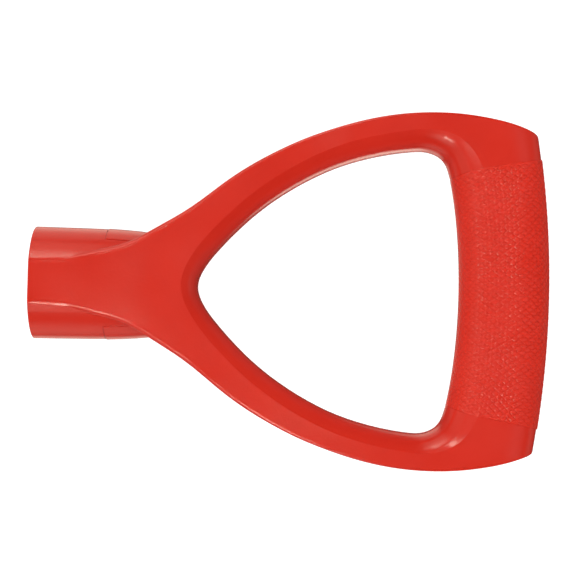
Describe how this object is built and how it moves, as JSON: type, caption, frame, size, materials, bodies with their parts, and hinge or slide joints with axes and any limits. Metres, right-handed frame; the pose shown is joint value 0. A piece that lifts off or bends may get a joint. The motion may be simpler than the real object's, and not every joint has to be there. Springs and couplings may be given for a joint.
{
  "type": "shovel d grip",
  "caption": "Moulded D-shaped hand grip for a shovel or spade: round shaft socket, Y of two ribbed channel arms, and a bowed crossbar with a knurled skin and plugged ends.",
  "frame": {"origin": "centre of the shaft socket's mouth, on the socket's axis", "axes": "+X along the socket's axis from the mouth towards the crossbar; +Z out of the front face; +Y along the crossbar; the grip lies flat with its faces level"},
  "size_m": [0.185, 0.1272, 0.0378],
  "materials": {
    "frame_plastic": "satin moulded",
    "skin_rubber": "matte knurled",
    "plug_plastic": "satin moulded"
  },
  "bodies": {
    "root": {"yoke_frame": "frame_plastic", "grip_skin": "skin_rubber", "end_plug_left": "plug_plastic", "end_plug_right": "plug_plastic"}
  },
  "joints": []
}
